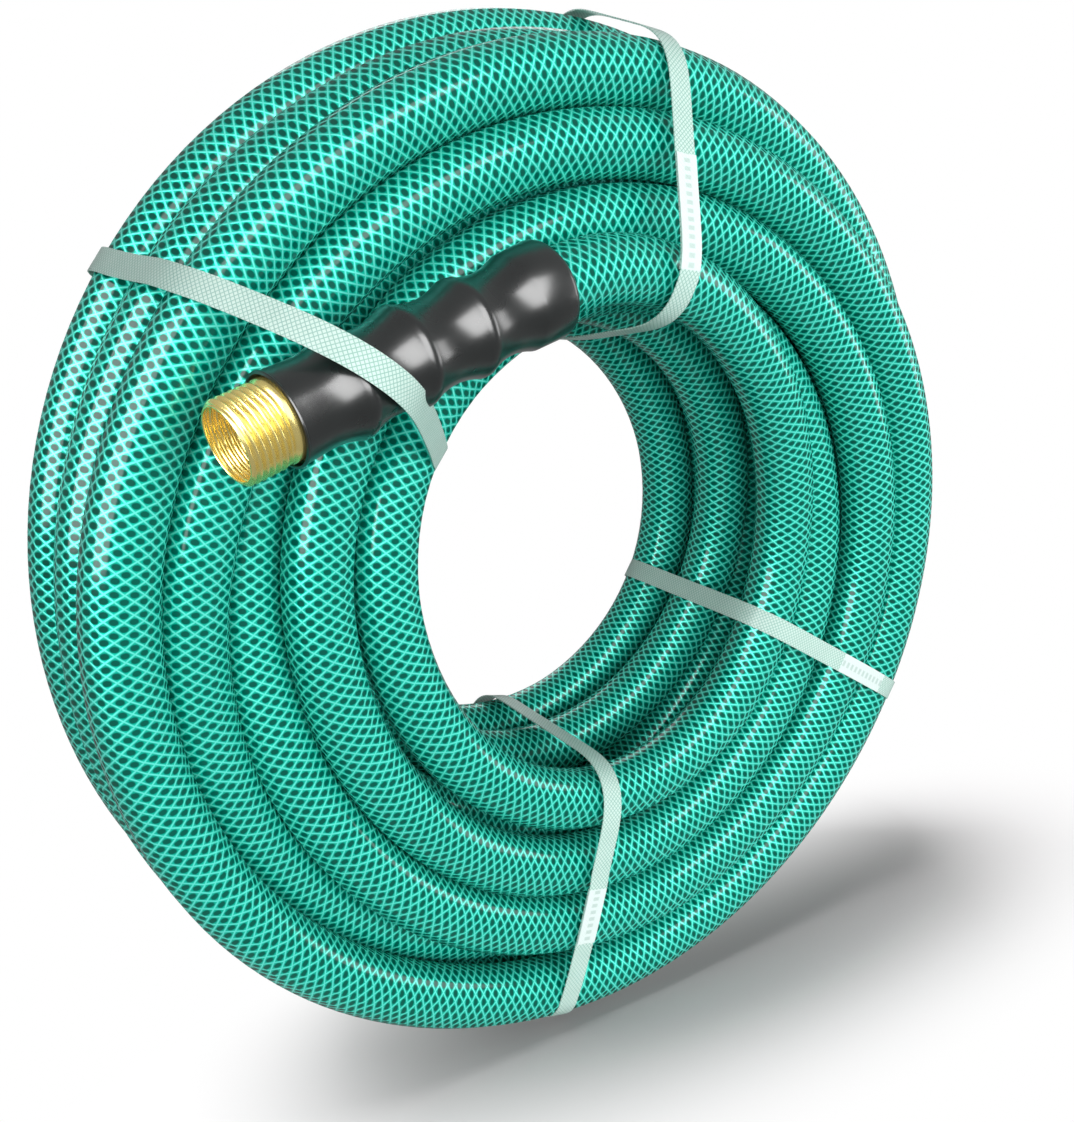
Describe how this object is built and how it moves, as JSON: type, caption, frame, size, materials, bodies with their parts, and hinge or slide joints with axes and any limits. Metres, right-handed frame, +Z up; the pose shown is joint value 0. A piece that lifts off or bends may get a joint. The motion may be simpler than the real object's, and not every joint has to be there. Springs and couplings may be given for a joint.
{
  "type": "garden hose coil",
  "caption": "Braid-reinforced garden hose wound in a strapped upright coil, with a threaded brass male end in a ribbed grip and a female swivel nut at the back.",
  "frame": {"origin": "middle of the flat that the coil stands on, under the coil's axis and in the widest layer of turns", "axes": "+Z up, Y along the coil's axis with the male end on the -Y side, +X to the right seen from that side"},
  "size_m": [0.4218, 0.1947, 0.4156],
  "materials": {
    "green_vinyl": "glossy clear green vinyl over a braid",
    "black_rubber": "satin",
    "brass": "bright rolled",
    "washer_rubber": "matte",
    "strap_plastic": "pale translucent, woven emboss"
  },
  "bodies": {
    "hose": {"hose_coil": "green_vinyl", "hose_male_lead": "green_vinyl", "hose_male_end": "green_vinyl", "hose_female_lead": "green_vinyl", "hose_female_end": "green_vinyl", "male_coupling": "brass", "male_ferrule": "brass", "male_grip": "black_rubber", "female_tailpiece": "brass", "female_ferrule": "brass", "female_grip": "black_rubber", "strap_top_left": "strap_plastic", "strap_top_right": "strap_plastic", "strap_lower_right": "strap_plastic", "strap_bottom": "strap_plastic"},
    "swivel_nut": {"female_nut": "brass", "female_washer": "washer_rubber"}
  },
  "joints": [
    {"name": "nut_swivel", "type": "hinge", "parent": "hose", "child": "swivel_nut", "pos_m": [-0.05775, 0.0684, 0.34269], "axis": [0.3998, 0.1959, 0.8954], "continuous": true}
  ]
}
